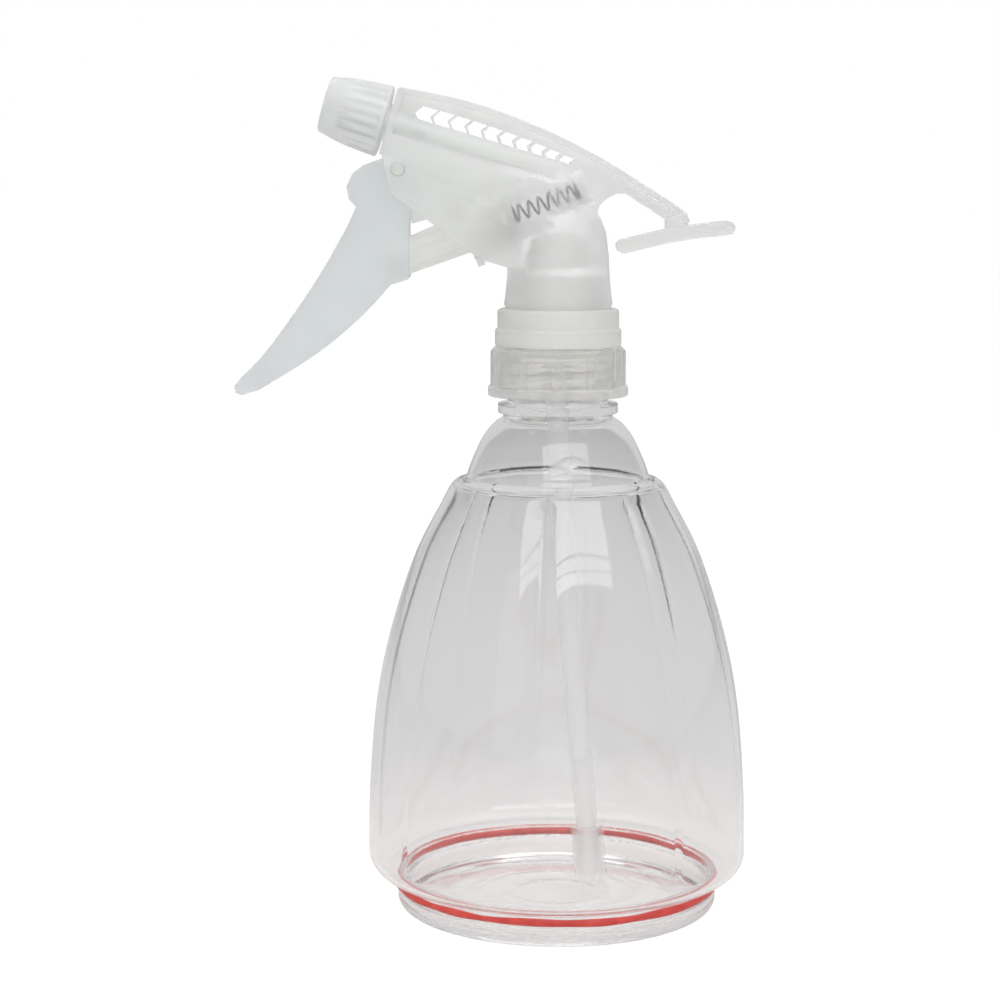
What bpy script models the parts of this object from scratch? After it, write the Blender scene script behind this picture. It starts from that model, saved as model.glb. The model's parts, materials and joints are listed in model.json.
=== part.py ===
"""Trigger spray bottle: fluted clear bottle, screw collar and a translucent trigger pump head.

The origin is the centre of the bottle's base.  +Z is up along the bottle, -X is the side the
nozzle points to, +X the side of the hanging hook.  The named sizes are millimetres, and MM
turns them into the metres that Blender uses.  The plane y = 0 is the head's plane of symmetry.
"""

import math

import bmesh
import bpy
from mathutils import Matrix, Vector

MM = 0.001
GAP = 0.3                       # clearance kept between neighbouring pieces
MERGE = 0.002                   # points closer than this after a Boolean are one point

# Bottle
FOOT_R = 40.6
FOOT_EDGE_R = 2.0
BAND_GROOVE_R = 39.8
BAND_GROOVE_Z = (5.2, 7.8)
OVERHANG_Z = 8.6
BODY_R = 48.1
BODY_CORNER_Z = 14.4
LEDGE_Z = 109.3
DOME_R = 22.9
NECK_R = 13.7
NECK_BORE_R = 10.8
NECK_ROOT_R = 12.6
LIP_Z = 139.0
BEAD_R = 15.0
BEAD_Z = (125.6, 128.3)
WALL = 1.3
BASE_WALL = 2.0
LOBES = 8
GROOVE_ANGLE = math.radians(-98.0)
GROOVE_DEPTH = 1.5
LOW_GROOVE_DEPTH = 0.5
BOTTLE_SEGMENTS = 32
THREAD_PITCH = 4.233
THREAD_HEIGHT = 1.1
THREAD_Z = (131.0, 137.6)

# Red band
BAND_R = 40.95
BAND_SECTION_R = 0.85

# Collar, gasket and retaining ring
COLLAR_Z = (130.0, 142.2)
COLLAR_RIBS = 12
RIB_ANGLE = math.radians(-93.0)
RIB_HEIGHT = 0.5
COLLAR_R = 16.9
COLLAR_RIM_R = 17.5
COLLAR_BORE_R = 14.1
DECK_Z = (141.5, 142.9)
DECK_HOLE_R = 11.9
HUB_R = 14.3
RING_STEP_R = (15.75, 15.15)
RING_Z = (142.5, 146.8, 151.6)
FLANGE_Z = (140.3, 141.2)

# Pump head
SHROUD_R = 13.1
SHROUD_Z = (143.2, 179.0)
SHROUD_CAVITY_R = 11.2
CORE_R = 7.4
SEAT_Z = 145.2
CHAMBER_Z = (147.0, 152.5)
BALL_R = 2.2
OUTLET_BALL_R = 1.25
PUMP_ANGLE = math.radians(21.0)
PUMP_ORIGIN = (-37.0, 0.0, 164.8)
NOZZLE_ANGLE = math.radians(16.4)
NOZZLE_ORIGIN = (-42.7, 0.0, 197.5)
FLUTES = 20
FLUTE_DEPTH = 0.45
CHEVRONS = 10
WEB_HALF = 1.0
CHEEK_Y = (7.9, 9.3)
RIM_HALF = 5.5
RIM_THICK = 1.4
BAR_HALF = 4.5

# Trigger
PIVOT = (-39.4, 0.0, 185.9)
PIN_R = 1.5
PIN_HALF = 8.9
LINK_R = 1.3
LINK_HALF = 6.3
LINK_AT = -3.2                  # the link pin's place along the pump's axis
TRIGGER_HALF = 7.2
TRIGGER_WALL = 1.5
CUT_HALF = 12.0                 # half length of a cutter that passes right through the head

# Pump, as distances along its axis from PUMP_ORIGIN
ROD_R = 4.4
PISTON_END = 27.2
BORE_R = 5.3
BORE_END = 34.8
SLEEVE_R = 6.3
SLEEVE_MOUTH = 15.0
POCKET_R = 2.7
POCKET_END = 45.3
SPRING_R = 1.9
SPRING_WIRE_R = 0.3
SPRING_TURNS = 7
TURN_STEPS = 10

# Dip tube
TUBE_R = (2.85, 2.0)
TUBE_TOP_Z = 143.0
STRAINER_R = 4.2


# ---------------------------------------------------------------- tools

def clear_scene():
    for thing in list(bpy.data.objects):
        bpy.data.objects.remove(thing)


def plastic(name, colour, roughness, alpha=1.0, metallic=0.0):
    made = bpy.data.materials.new(name)
    made.use_nodes = True
    shader = made.node_tree.nodes["Principled BSDF"]
    shader.inputs["Base Color"].default_value = (*colour, 1.0)
    shader.inputs["Roughness"].default_value = roughness
    shader.inputs["Metallic"].default_value = metallic
    shader.inputs["Alpha"].default_value = alpha
    return made


def mesh_object(name, points, faces):
    """A new object from points in millimetres, with its faces made to point outwards."""
    mesh = bpy.data.meshes.new(name)
    mesh.from_pydata([Vector(p) * MM for p in points], [], faces)
    form = bmesh.new()
    form.from_mesh(mesh)
    bmesh.ops.recalc_face_normals(form, faces=form.faces)
    form.to_mesh(mesh)
    form.free()
    made = bpy.data.objects.new(name, mesh)
    bpy.context.collection.objects.link(made)
    return made


def turned(name, profile, segments, radius_at=None, start=0.0, closed=False):
    """A turned solid from (radius, height) points; a radius of 0 closes an end on the axis.

    radius_at(angle, radius, height) may vary the radius around the axis.
    """
    points = []
    rings = []
    for radius, height in profile:
        if radius == 0:
            rings.append([len(points)])
            points.append((0, 0, height))
            continue
        ring = []
        for step in range(segments):
            angle = start + math.tau * step / segments
            r = radius_at(angle, radius, height) if radius_at else radius
            ring.append(len(points))
            points.append((r * math.cos(angle), r * math.sin(angle), height))
        rings.append(ring)
    pairs = list(zip(rings, rings[1:]))
    if closed:
        pairs.append((rings[-1], rings[0]))
    faces = []
    for low, high in pairs:
        for step in range(segments):
            after = (step + 1) % segments
            if len(low) == len(high) == 1:
                break
            if len(low) == 1:
                faces.append((low[0], high[step], high[after]))
            elif len(high) == 1:
                faces.append((low[step], high[0], low[after]))
            else:
                faces.append((low[step], low[after], high[after], high[step]))
    return mesh_object(name, points, faces)


def prism(name, outline, low_y, high_y):
    """A plate whose outline is a list of (x, z) points, standing between two y planes."""
    count = len(outline)
    points = [(x, y, z) for y in (low_y, high_y) for x, z in outline]
    faces = [tuple(range(count)), tuple(range(2 * count - 1, count - 1, -1))]
    for step in range(count):
        after = (step + 1) % count
        faces.append((step, after, count + after, count + step))
    return mesh_object(name, points, faces)


def arc(centre, radius, first, last, steps):
    """Points on an arc in the x-z plane; angles in degrees from +X towards +Z."""
    turn = [math.radians(first + (last - first) * step / steps) for step in range(steps + 1)]
    return [(centre[0] + radius * math.cos(a), centre[1] + radius * math.sin(a)) for a in turn]


def smooth_curve(knots, steps):
    """Points on a Catmull-Rom curve through the knots, with so many steps between two of them."""
    padded = [knots[0], *knots, knots[-1]]
    out = []
    for before, a, b, beyond in zip(padded, padded[1:], padded[2:], padded[3:]):
        for step in range(steps):
            t = step / steps
            out.append(tuple(
                0.5 * (2 * q + (r - p) * t + (2 * p - 5 * q + 4 * r - s) * t * t
                       + (3 * q - p - 3 * r + s) * t ** 3)
                for p, q, r, s in zip(before, a, b, beyond)))
    out.append(tuple(knots[-1]))
    return out


def combine(base, other, operation):
    """Join another shape to the base, or cut it out, and remove the other shape."""
    modifier = base.modifiers.new(operation, "BOOLEAN")
    modifier.object = other
    modifier.operation = operation
    modifier.solver = "EXACT"
    bpy.context.view_layer.update()
    result = bpy.data.meshes.new_from_object(base.evaluated_get(bpy.context.evaluated_depsgraph_get()))
    base.modifiers.clear()
    base.data = result
    tidy = bmesh.new()
    tidy.from_mesh(result)
    bmesh.ops.remove_doubles(tidy, verts=tidy.verts, dist=MERGE * MM)
    bmesh.ops.dissolve_degenerate(tidy, edges=tidy.edges, dist=MERGE * MM)
    tidy.to_mesh(result)
    tidy.free()
    bpy.data.objects.remove(other)


def across(name, centre, radius, half, segments=20):
    """A round bar along Y through centre."""
    bar = turned(name, [(0, -half), (radius, -half), (radius, half), (0, half)], segments)
    settle(bar, Matrix.Rotation(math.radians(90), 4, "X"))
    settle(bar, Matrix.Translation(Vector(centre) * MM))
    return bar


def settle(piece, matrix):
    piece.data.transform(matrix)
    piece.data.update()


def axis_matrix(origin, slope):
    """Turns +Z onto a direction in the x-z plane, slope being its turn about Y."""
    return Matrix.Translation(Vector(origin) * MM) @ Matrix.Rotation(slope, 4, "Y")


PUMP_FRAME = axis_matrix(PUMP_ORIGIN, math.radians(90) - PUMP_ANGLE)
NOZZLE_FRAME = axis_matrix(NOZZLE_ORIGIN, NOZZLE_ANGLE - math.radians(90))


def finish_piece(piece, paint, frame=None):
    """Give a piece its material, its smooth shading and the origin it moves about."""
    piece.data.materials.clear()
    piece.data.materials.append(paint)
    piece.data.shade_smooth()
    piece.data.set_sharp_from_angle(angle=math.radians(35))
    if frame is not None:
        piece.matrix_world = frame
    return piece


def moved_origin(piece, point):
    """Shift a piece's origin to a point without moving the piece."""
    place = Vector(point) * MM
    settle(piece, Matrix.Translation(-place))
    piece.location = place
    return piece


# ---------------------------------------------------------------- bottle

def groove(angle):
    """1 in a groove's line, falling quickly to 0 on the lobe beside it."""
    return (1 - abs(math.sin((angle - GROOVE_ANGLE) * LOBES / 2))) ** 3


def share(value, start, end):
    """How far a value has come from start to end, from 0 to 1."""
    return min(max((value - start) / (end - start), 0.0), 1.0)


def groove_depth(height):
    """The grooves are deepest below the shoulder and run out at the foot and at the ledge."""
    depth = LOW_GROOVE_DEPTH + (GROOVE_DEPTH - LOW_GROOVE_DEPTH) * share(height, 24.0, 84.0)
    return depth * share(height, BODY_CORNER_Z - 2.0, BODY_CORNER_Z + 4.0) * share(height, LEDGE_Z - 1.0, 103.5)


def thread(angle, height):
    """Height of the screw thread above the neck's root at a point of the neck."""
    low, high = THREAD_Z
    if not low < height < high:
        return 0.0
    phase = ((height - low) / THREAD_PITCH - (angle - GROOVE_ANGLE) / math.tau) % 1.0
    return THREAD_HEIGHT * max(0.0, 1 - abs(phase - 0.5) / 0.32) ** 0.5


def bottle_radius(angle, radius, height):
    if radius < NECK_ROOT_R - 0.1:
        return radius
    if height > BEAD_Z[1] + 0.5:
        return radius + thread(angle, height)
    return radius - groove_depth(height) * groove(angle)


def body_side():
    """The flowing side of the body, from its lower corner up to the ledge."""
    knots = [(BODY_R, BODY_CORNER_Z), (47.7, 30.2), (45.9, 52.2), (42.2, 70.8), (36.0, 90.0), (29.3, 103.2)]
    return smooth_curve(knots, 2)


def bottle_outside():
    corner = arc((BODY_R - 5.6, BODY_CORNER_Z), 5.6, -80, -20, 3)
    ledge = [(26.9, 107.6), (25.2, 109.1), (DOME_R, LEDGE_Z)]
    dome = smooth_curve([(22.6, 110.8), (20.9, 115.2), (18.0, 120.6), (16.2, 122.8)], 2)
    neck = [(NECK_R + 0.5, 124.2), (NECK_R, 124.9), (NECK_R, BEAD_Z[0]), (BEAD_R, BEAD_Z[0] + 0.3),
            (BEAD_R, BEAD_Z[1] - 0.3), (NECK_ROOT_R, BEAD_Z[1]), (NECK_ROOT_R, THREAD_Z[0] - 0.6)]
    steps = 7
    span = THREAD_Z[1] - THREAD_Z[0]
    screw = [(NECK_ROOT_R, THREAD_Z[0] + span * (step + 0.5) / steps) for step in range(steps)]
    foot = [(0, 0), (20, 0), (FOOT_R - FOOT_EDGE_R, 0), (FOOT_R - 0.6, 0.6), (FOOT_R, FOOT_EDGE_R),
            (FOOT_R, BAND_GROOVE_Z[0] - 0.4), (BAND_GROOVE_R, BAND_GROOVE_Z[0]),
            (BAND_GROOVE_R, BAND_GROOVE_Z[1]), (BAND_GROOVE_R + 0.8, OVERHANG_Z)]
    return foot + corner + body_side() + ledge + dome + neck + screw + [(NECK_ROOT_R, LIP_Z)]


def bottle_inside():
    """The inner wall from the lip down to the floor."""
    top = [(NECK_BORE_R, LIP_Z), (NECK_BORE_R, 124.6)]
    dome = [(17.2, 119.6), (19.8, 114.8), (21.4, 110.4), (22.0, 108.2), (25.4, 106.4)]
    side = [(radius - WALL, height - 0.5) for radius, height in reversed(body_side()[::2])]
    floor = [(44.6, 11.0), (41.6, 9.6), (38.6, 8.4), (38.2, 4.0), (36.2, BASE_WALL), (0, BASE_WALL)]
    return top + dome + side + floor


def make_bottle():
    profile = bottle_outside() + bottle_inside()
    return turned("bottle", profile, BOTTLE_SEGMENTS, bottle_radius, GROOVE_ANGLE)


def ring_solid(name, radius, section, height, segments, sides):
    profile = [(radius + section * math.cos(math.tau * k / sides),
                height + section * math.sin(math.tau * k / sides)) for k in range(sides)]
    return turned(name, profile, segments, closed=True)


# ---------------------------------------------------------------- neck pieces

def collar_ribs(angle, radius, height):
    """Narrow upright ribs stand on the skirt's outside."""
    if abs(radius - COLLAR_R) > 0.01:
        return radius
    on_rib = abs(math.cos((angle - RIB_ANGLE) * COLLAR_RIBS / 2)) > 0.9
    return radius if on_rib else radius - RIB_HEIGHT


def make_collar():
    low, high = COLLAR_Z
    profile = [(COLLAR_BORE_R, low), (COLLAR_RIM_R, low), (COLLAR_RIM_R, low + 2.2),
               (COLLAR_R, low + 2.8), (COLLAR_R, high - 0.9), (COLLAR_R - 1.0, high), (HUB_R, high),
               (HUB_R, DECK_Z[1]), (DECK_HOLE_R, DECK_Z[1]), (DECK_HOLE_R, DECK_Z[0]),
               (COLLAR_BORE_R, DECK_Z[0])]
    return turned("screw_collar", profile, 4 * COLLAR_RIBS, collar_ribs, RIB_ANGLE, closed=True)


def make_retainer():
    outer, upper = RING_STEP_R
    low, step, top = RING_Z
    profile = [(HUB_R + GAP, low), (outer, low), (outer, step - 0.3), (upper, step + 0.1), (upper, top - 0.4),
               (upper - 0.5, top), (SHROUD_R + GAP, top + 0.2), (SHROUD_R + GAP, 143.4),
               (HUB_R + GAP, 143.4)]
    return turned("collar_retainer", profile, 32, closed=True)


def make_gasket():
    low = LIP_Z + GAP
    high = FLANGE_Z[0] - GAP
    profile = [(5.0, low), (13.3, low), (13.3, high), (5.0, high)]
    return turned("neck_gasket", profile, 20, closed=True)


def make_valve_core():
    """Insert pressed into the head from below: sealing flange, guide tube and inlet valve chamber."""
    bore = TUBE_R[0] + GAP
    low, high = CHAMBER_Z
    profile = [(bore, 128.0), (4.4, 128.0), (4.6, FLANGE_Z[0]), (13.4, FLANGE_Z[0]), (13.4, FLANGE_Z[1]),
               (10.9, FLANGE_Z[1] + 0.1), (10.9, 159.0), (9.7, 159.0), (9.7, 145.0), (CORE_R, 144.8),
               (CORE_R, 165.0), (6.4, 168.4), (3.8, 170.0), (0, 170.4), (0, 163.0), (1.4, 163.0),
               (1.4, high), (2.6, high), (2.6, low), (1.2, SEAT_Z), (1.2, 143.8), (bore, 143.4)]
    return turned("valve_core", profile, 20, closed=True)


def ball(name, centre, radius, rings=8, segments=12):
    turns = [math.pi * k / rings for k in range(1, rings)]
    profile = [(radius * math.sin(t), -radius * math.cos(t)) for t in turns]
    made = turned(name, [(0, -radius), *profile, (0, radius)], segments)
    made.location = Vector(centre) * MM
    return made


def bridge(rings):
    """The faces between neighbouring rings of point numbers, each with as many points."""
    faces = []
    for low, high in zip(rings, rings[1:]):
        for side in range(len(low)):
            after = (side + 1) % len(low)
            faces.append((low[side], low[after], high[after], high[side]))
    return faces


def hollow_tube(name, path, radii, sides):
    """A tube along a path in the plane y = 0, with an outer and an inner radius."""
    points = []
    walls = []
    for radius in radii:
        wall = []
        for step, place in enumerate(path):
            before = Vector(path[max(step - 1, 0)])
            beyond = Vector(path[min(step + 1, len(path) - 1)])
            first = Vector((0, 1, 0))
            second = (beyond - before).normalized().cross(first)
            wall.append(range(len(points), len(points) + sides))
            for side in range(sides):
                angle = math.tau * side / sides
                points.append(Vector(place) + radius * (first * math.cos(angle) + second * math.sin(angle)))
        walls.append(wall)
    outer, inner = walls
    return mesh_object(name, points, bridge([*outer, *inner[::-1], outer[0]]))


def tube_route():
    """The dip tube's centre line: straight out of its socket, then leaning towards the hook side."""
    knots = [(0.0, TUBE_TOP_Z), (0.0, 122.0), (1.4, 98.0), (3.6, 66.0), (6.3, 36.0), (8.5, 10.5)]
    return [(x, 0.0, z) for x, z in smooth_curve(knots, 2)]


def make_strainer():
    """Sleeve on the tube's lower end, with a smaller intake hole through its foot."""
    bore = TUBE_R[0] + GAP
    profile = [(1.6, -5.0), (STRAINER_R - 0.5, -5.0), (STRAINER_R, -4.4), (STRAINER_R, 8.2),
               (STRAINER_R - 0.5, 9.0), (bore, 9.0), (bore, -0.4), (1.6, -0.4)]
    made = turned("intake_strainer", profile, 16, closed=True)
    foot, above = tube_route()[-1], tube_route()[-3]
    lean = math.atan2(above[0] - foot[0], above[2] - foot[2])
    made.matrix_world = axis_matrix(foot, lean)
    return made


# ---------------------------------------------------------------- pump head

def pump_point(along, up):
    """(x, z) of a point at a distance along the pump's axis and above it."""
    x, _, z = PUMP_ORIGIN
    return (x + along * math.cos(PUMP_ANGLE) - up * math.sin(PUMP_ANGLE),
            z + along * math.sin(PUMP_ANGLE) + up * math.cos(PUMP_ANGLE))


def nozzle_point(along, up):
    """(x, z) of a point at a distance out along the nozzle's axis and above it."""
    x, _, z = NOZZLE_ORIGIN
    return (x - along * math.cos(NOZZLE_ANGLE) + up * math.sin(NOZZLE_ANGLE),
            z + along * math.sin(NOZZLE_ANGLE) + up * math.cos(NOZZLE_ANGLE))


def top_edge():
    knots = [(-38.9, 205.7), (-24.1, 202.8), (-10.6, 198.4), (2.8, 192.6), (16.1, 185.2), (29.4, 176.7)]
    return smooth_curve(knots, 2) + [(31.4, 175.1), (32.2, 173.2)]


def offset_down(points, depth):
    """The same line moved to its right-hand side, seen along its direction."""
    out = []
    for step, (x, z) in enumerate(points):
        ax, az = points[max(step - 1, 0)]
        bx, bz = points[min(step + 1, len(points) - 1)]
        length = math.hypot(bx - ax, bz - az)
        out.append((x + depth * (bz - az) / length, z - depth * (bx - ax) / length))
    return out


def band(knots, half):
    """The outline of a bar with rounded ends along a smooth curve."""
    middle = smooth_curve(knots, 3)
    left = offset_down(middle, half)
    right = offset_down(middle, -half)
    heads = []
    for (x, z), (bx, bz) in ((middle[-1], middle[-2]), (middle[0], middle[1])):
        facing = math.degrees(math.atan2(z - bz, x - bx))
        heads.append(arc((x, z), half, facing + 90, facing - 90, 6)[1:-1])
    return right + heads[0] + left[::-1] + heads[1]


def web_outline():
    """The plate in the middle of the head, with the tail and the hook's stem."""
    stem = [(32.0, 170.6), (26.5, 169.6), (26.4, 173.9)]
    notch = [(16.6, 180.1), (14.2, 179.9), (12.0, 178.8), (10.2, 177.2), (9.6, 175.6), (9.9, 173.8)]
    inner = [(9.0, 166.0), (-8.0, 162.6), (-12.9, 162.0), pump_point(18.4, -7.9)]
    under = [pump_point(18.4, 7.6), (-26.8, 178.9), (-27.4, 175.1), (-36.3, 172.6), (-36.3, 193.0)]
    front = [nozzle_point(-2.0, -6.0), nozzle_point(-2.0, 8.0)]
    return top_edge() + stem + notch + inner + under + front


def chevron(step):
    """An arrow-shaped opening that points to the nozzle; they shrink towards the tail."""
    f = step / (CHEVRONS - 1)
    x = -32.8 + 38.7 * f - 4.1 * f * f
    z = 199.0 - 9.6 * f - 1.5 * f * f
    slope = math.radians(-15.0 - 6.0 * f)
    half_w = (3.9 - 1.4 * f) / 2
    half_h = (4.2 - 1.8 * f) / 2
    reach = 0.7 * half_h
    shape = [(-half_w - reach / 2, 0), (-half_w + reach / 2, half_h), (half_w + reach / 2, half_h),
             (half_w - reach / 2, 0), (half_w + reach / 2, -half_h), (-half_w + reach / 2, -half_h)]
    turned_shape = [(x + u * math.cos(slope) - v * math.sin(slope),
                     z + u * math.sin(slope) + v * math.cos(slope)) for u, v in shape]
    return prism("chevron", turned_shape, -2.0 * WEB_HALF, 2.0 * WEB_HALF)


def cheek_outline():
    top = [nozzle_point(-1.6, -2.9), nozzle_point(-41.0, -2.9)]
    shroud = [(1.2, 181.0), (4.2, 177.4), (5.6, 172.0), (-8.5, 162.2)]
    lower = [(-12.8, 162.1), (-17.4, 163.5), (-21.0, 165.2), (-41.2, 180.2), (-43.4, 189.9)]
    return top + shroud + lower


def shroud_solid():
    low, top = SHROUD_Z
    profile = [(0, low), (SHROUD_R, low), (SHROUD_R, 152.0), (13.5, 152.7), (13.1, 155.7), (12.8, 159.0),
               (12.5, 164.6), (11.8, 170.5), (10.4, 174.0), (8.0, 176.8), (4.5, 178.4), (0, top)]
    return turned("shroud", profile, 28)


def shroud_cavity():
    profile = [(0, SHROUD_Z[0] - 3.0), (SHROUD_CAVITY_R, SHROUD_Z[0] - 3.0), (SHROUD_CAVITY_R, 160.0),
               (CORE_R + GAP, 162.0), (CORE_R + GAP, 165.2), (6.7, 168.7), (4.0, 170.4), (0, 170.8)]
    return turned("cavity", profile, 20)


def make_head_frame():
    head = prism("head_frame", web_outline(), -WEB_HALF, WEB_HALF)
    edge = top_edge()
    rim = prism("rim", edge + offset_down(edge, RIM_THICK)[::-1], -RIM_HALF, RIM_HALF)
    tail = [(13.6, 180.0), (16.6, 180.0), (26.9, 173.4)]
    lower_rim = prism("lower_rim", tail + offset_down(tail, -1.3)[::-1], -3.4, 3.4)
    stem = prism("stem", [(26.5, 174.4), (31.0, 174.8), (31.8, 170.6), (26.6, 169.7)], -3.6, 3.6)
    bar = prism("bar", band([(16.0, 167.05), (24.4, 169.05), (31.6, 170.4), (41.8, 171.6)], 1.7),
                -BAR_HALF, BAR_HALF)
    plate = prism("plate", [nozzle_point(-1.05, -7.9), nozzle_point(-1.05, 8.6), nozzle_point(-2.7, 8.5),
                            nozzle_point(-2.7, -7.9)], -8.9, 8.9)
    shoulder = prism("shoulder", [nozzle_point(-1.9, -3.8), nozzle_point(-1.9, -2.4),
                                  nozzle_point(-37.5, -2.4), nozzle_point(-37.5, -3.8)], -8.8, 8.8)
    cheeks = [prism("cheek", cheek_outline(), side * CHEEK_Y[0], side * CHEEK_Y[1]) for side in (-1, 1)]
    barrel = turned("barrel", [(0, -47.0), (3.6, -47.0), (3.6, -2.2), (4.6, -1.8), (4.6, 9.0), (0, 9.0)], 16)
    housing = turned("housing", [(0, 17.2), (8.4, 17.2), (8.4, 37.4), (4.9, 38.2), (4.9, 47.6), (0, 47.6)], 24)
    settle(barrel, NOZZLE_FRAME)
    settle(housing, PUMP_FRAME)
    for other in (rim, lower_rim, stem, bar, plate, shoulder, *cheeks, barrel, housing, shroud_solid()):
        combine(head, other, "UNION")
    seat_r = SLEEVE_R + GAP
    seat = turned("seat", [(0, 13.0), (7.4, 13.0), (7.4, 18.1), (seat_r, 18.1), (seat_r, 36.3),
                           (4.0, 36.3), (4.0, 46.7), (0, 46.7)], 20)
    passage = turned("passage", [(0, -44.0), (1.8, -44.0), (1.8, 12.0), (0, 12.0)], 12)
    settle(seat, PUMP_FRAME)
    settle(passage, NOZZLE_FRAME)
    pin_hole = across("pin_hole", PIVOT, PIN_R + GAP, CUT_HALF)
    for other in (shroud_cavity(), seat, passage, pin_hole, *[chevron(k) for k in range(CHEVRONS)]):
        combine(head, other, "DIFFERENCE")
    return head


def make_sleeve():
    """Pump cylinder: a lip at its mouth, the bore, and a narrow pocket for the spring's far end."""
    outer = SLEEVE_R
    profile = [(BORE_R, SLEEVE_MOUTH), (7.1, SLEEVE_MOUTH), (7.1, 17.8), (outer, 17.8), (outer, 36.0),
               (POCKET_R + 1.0, 36.0), (POCKET_R + 1.0, 46.4), (0, 46.4), (0, POCKET_END),
               (POCKET_R, POCKET_END), (POCKET_R, BORE_END), (BORE_R, BORE_END)]
    made = turned("pump_cylinder", profile, 20, closed=True)
    tooth = mesh_object("tooth", [(x, y, z) for x in (6.4, 8.8) for y in (-2.5, 2.5)
                                  for z in (SLEEVE_MOUTH + 0.1, 16.9)],
                        [(0, 1, 3, 2), (4, 6, 7, 5), (0, 4, 5, 1), (2, 3, 7, 6), (0, 2, 6, 4), (1, 5, 7, 3)])
    combine(made, tooth, "UNION")
    return made


def make_piston():
    """Plunger: slotted end for the link pin, a slightly flared rod, and a groove for its seal."""
    end = LINK_AT - 3.0
    profile = [(0, end), (ROD_R - 0.6, end), (ROD_R - 0.1, end + 0.6), (ROD_R, 2.0), (4.7, 12.0),
               (4.7, 24.3), (3.9, 24.3), (3.9, 26.3), (4.7, 26.3), (4.7, PISTON_END), (0, PISTON_END)]
    made = turned("piston", profile, 20)
    half = LINK_R + 0.35
    corners = [(-half, LINK_AT - half), (2.2, LINK_AT - half), (3.4, LINK_AT), (2.2, LINK_AT + half),
               (-half, LINK_AT + half)]
    slot = mesh_object("slot", [(x, y, z) for y in (-8, 8) for x, z in corners],
                       [(0, 1, 2, 3, 4), (9, 8, 7, 6, 5), (0, 5, 6, 1), (1, 6, 7, 2), (2, 7, 8, 3),
                        (3, 8, 9, 4), (4, 9, 5, 0)])
    combine(made, slot, "DIFFERENCE")
    return made


def make_piston_seal():
    profile = [(4.2, 24.6), (5.0, 24.6), (5.0, 26.0), (4.2, 26.0)]
    return turned("piston_seal", profile, 20, closed=True)


def make_spring():
    low = PISTON_END + GAP + SPRING_WIRE_R
    high = POCKET_END - GAP - SPRING_WIRE_R
    steps = SPRING_TURNS * TURN_STEPS
    path = []
    for step in range(steps + 1):
        f = step / steps
        angle = math.tau * SPRING_TURNS * f
        path.append((SPRING_R * math.cos(angle), SPRING_R * math.sin(angle), low + (high - low) * f))
    return coiled_wire("return_spring", path)


def coiled_wire(name, path, sides=5):
    """A round wire along a coil about the z axis, with flat ends."""
    points = []
    rings = []
    for place in path:
        centre = Vector(place)
        outward = Vector((centre.x, centre.y, 0)).normalized()
        rings.append(range(len(points), len(points) + sides))
        for side in range(sides):
            angle = math.tau * side / sides
            spoke = outward * math.cos(angle) + Vector((0, 0, math.sin(angle)))
            points.append(centre + SPRING_WIRE_R * spoke)
    return mesh_object(name, points, bridge(rings) + [tuple(rings[0]), tuple(rings[-1])[::-1]])


# ---------------------------------------------------------------- trigger and nozzle

def trigger_front():
    """From the head of the trigger down its front edge to the tip."""
    knuckle = [(-44.2, 188.2), (-47.8, 186.9), (-50.5, 184.9), (-52.0, 181.6), (-51.4, 178.6), (-49.7, 176.7)]
    blade = smooth_curve([(-51.9, 172.0), (-59.7, 158.7), (-71.4, 142.3), (-78.6, 134.8)], 3)
    return knuckle + blade + [(-80.1, 132.9), (-79.9, 131.2), (-78.3, 130.6)]


def trigger_rear():
    """From the tip up the rear edge to the pivot."""
    blade = smooth_curve([(-74.0, 131.9), (-59.7, 140.8), (-48.9, 149.7), (-41.6, 157.7)], 3)
    return blade + [(-38.6, 158.6), (-36.9, 159.2), (-36.9, 172.3), (-35.4, 180.0)]


def make_trigger():
    """A channel that is open to the rear, with blind holes inside its side walls for the link pin."""
    crown = arc(PIVOT[::2], 4.0, 0, 125, 6)
    made = prism("trigger", crown + trigger_front() + trigger_rear(), -TRIGGER_HALF, TRIGGER_HALF)
    inner = TRIGGER_HALF - TRIGGER_WALL
    hollow = [(-30.0, 194.0), (-42.5, 194.0), (-43.4, 186.4), (-49.0, 183.4), (-49.8, 181.2), (-47.2, 177.2),
              (-50.2, 171.4), (-58.2, 158.4), (-69.8, 142.6), (-74.0, 137.0), (-70.6, 129.0), (-30.0, 129.0)]
    combine(made, prism("hollow", hollow, -inner, inner), "DIFFERENCE")
    combine(made, across("pin_hole", PIVOT, PIN_R + GAP, CUT_HALF), "DIFFERENCE")
    combine(made, across("link_holes", link_place(), LINK_R + GAP, LINK_HALF + GAP), "DIFFERENCE")
    return made


def link_place():
    x, z = pump_point(LINK_AT, 0.0)
    return (x, 0.0, z)


def flutes(angle, radius, height):
    """Shallow flutes on the rear of the nozzle cap."""
    if radius < 6.5 or not 1.0 < height < 11.0:
        return radius
    return radius - FLUTE_DEPTH * (1 - math.cos(angle * FLUTES)) / 2


def make_nozzle_cap():
    outside = [(5.0, 0.0), (8.6, 0.0), (8.9, 0.6), (8.8, 3.0), (8.5, 6.5), (8.05, 10.0), (7.3, 13.8),
               (6.7, 15.5)]
    inside = [(3.4, 15.5), (1.2, 14.2), (0.6, 13.2), (0.6, 11.5), (5.0, 11.5)]
    return turned("nozzle_cap", outside + inside, 2 * FLUTES, flutes, closed=True)


def make_spinner():
    profile = [(0, 2.5), (1.45, 2.5), (1.45, 9.3), (3.2, 9.3), (3.2, 10.0), (0, 10.0)]
    return turned("spray_spinner", profile, 20)


def make_nozzle_gasket():
    profile = [(1.2, 10.3), (4.6, 10.3), (4.6, 11.1), (1.2, 11.1)]
    return turned("nozzle_gasket", profile, 20, closed=True)


# ---------------------------------------------------------------- assembly

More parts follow.
